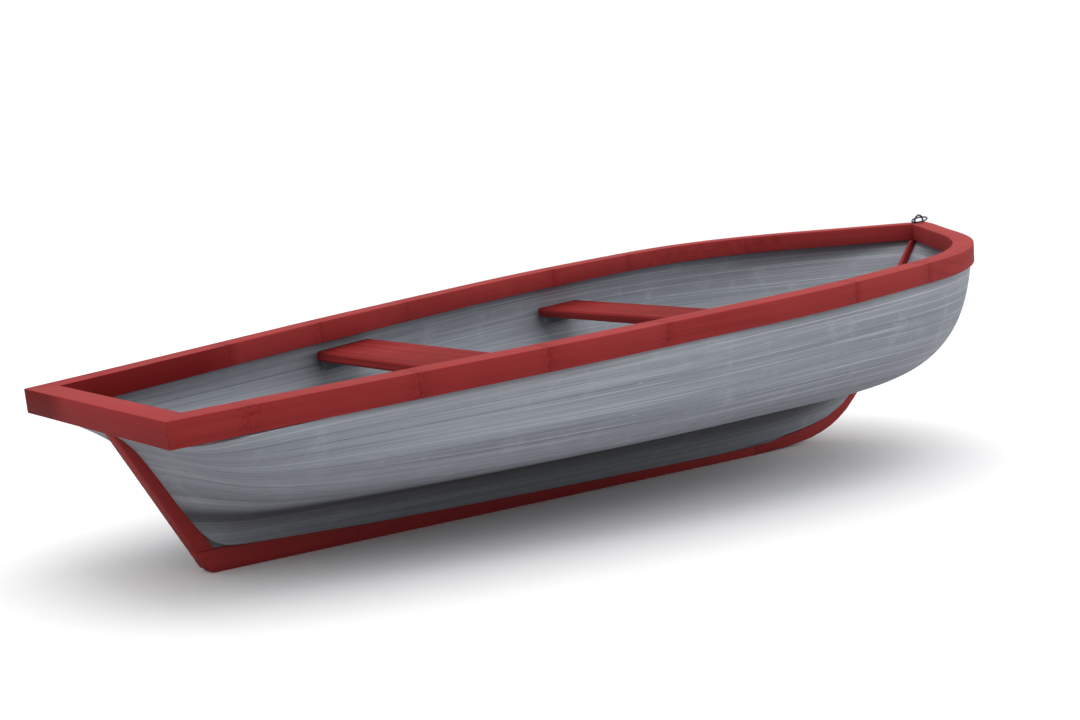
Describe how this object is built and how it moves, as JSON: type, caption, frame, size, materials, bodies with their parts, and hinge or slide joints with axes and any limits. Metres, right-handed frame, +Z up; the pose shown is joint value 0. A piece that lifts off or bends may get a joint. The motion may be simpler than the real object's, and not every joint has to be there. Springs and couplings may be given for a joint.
{
  "type": "rowing boat",
  "caption": "Small open double-curved wooden rowing boat, strip-planked on a keel with a square cap rail, thwarts to sit on and a mooring ring on its staple at the bow.",
  "frame": {"origin": "on the underside of the keel, under the middle of the boat's overall length, in the plane of symmetry", "axes": "+X forward to the bow, +Y to port, +Z up; the XZ plane is the plane of symmetry"},
  "size_m": [4.007, 1.5764, 0.9417],
  "materials": {
    "rail_timber": "squared softwood with a satin coat of faded red boat paint",
    "planking_timber": "narrow strip planks, painted matt slate grey and brushed along the grain",
    "backbone_timber": "keel and posts in a satin coat of dark red boat paint",
    "inner_timber": "sawn timber, painted matt slate grey like the planks",
    "thwart_timber": "planed seat boards with rounded edges, satin red boat paint worn on top",
    "fastening_steel": "plain galvanised steel, dull",
    "mooring_iron": "forged iron rod, dark blue-black with a dull sheen"
  },
  "bodies": {
    "boat": {"aft_thwart": "thwart_timber", "apron": "inner_timber", "fore_thwart": "thwart_timber", "forefoot": "backbone_timber", "hog": "inner_timber", "inner_sternpost": "inner_timber", "keel": "backbone_timber", "keel_bolt_nuts": "fastening_steel", "keel_bolts": "fastening_steel", "mooring_staple": "mooring_iron", "port_aft_thwart_cleat": "thwart_timber", "port_fore_thwart_cleat": "thwart_timber", "port_garboard_strake": "planking_timber", "port_rail_after": "rail_timber", "port_rail_bow": "rail_timber", "port_rail_forward": "rail_timber", "port_rail_midship": "rail_timber", "port_rail_quarter": "rail_timber", "port_rail_shoulder": "rail_timber", "port_rail_waist": "rail_timber", "port_sheer_strake": "planking_timber", "port_strake_2": "planking_timber", "port_strake_3_after": "planking_timber", "port_strake_3_forward": "planking_timber", "port_strake_4": "planking_timber", "port_strake_5": "planking_timber", "port_strake_6": "planking_timber", "port_strake_7": "planking_timber", "port_strake_8_after": "planking_timber", "port_strake_8_forward": "planking_timber", "port_strake_8_midship": "planking_timber", "port_strake_9": "planking_timber", "starboard_aft_thwart_cleat": "thwart_timber", "starboard_fore_thwart_cleat": "thwart_timber", "starboard_garboard_strake": "planking_timber", "starboard_rail_after": "rail_timber", "starboard_rail_bow": "rail_timber", "starboard_rail_forward": "rail_timber", "starboard_rail_midship": "rail_timber", "starboard_rail_quarter": "rail_timber", "starboard_rail_shoulder": "rail_timber", "starboard_rail_waist": "rail_timber", "starboard_sheer_strake": "planking_timber", "starboard_strake_2": "planking_timber", "starboard_strake_3_after": "planking_timber", "starboard_strake_3_forward": "planking_timber", "starboard_strake_4": "planking_timber", "starboard_strake_5": "planking_timber", "starboard_strake_6": "planking_timber", "starboard_strake_7": "planking_timber", "starboard_strake_8_after": "planking_timber", "starboard_strake_8_forward": "planking_timber", "starboard_strake_8_midship": "planking_timber", "starboard_strake_9": "planking_timber", "stem": "backbone_timber", "stern_rail": "rail_timber", "sternpost": "backbone_timber", "thwart_screws": "fastening_steel"},
    "ring": {"mooring_ring": "mooring_iron"}
  },
  "joints": [
    {"name": "mooring_ring_swing", "type": "hinge", "parent": "boat", "child": "ring", "pos_m": [1.92188, 0, 0.90585], "axis": [0, -1, 0], "range_deg": [-12, 162]}
  ]
}
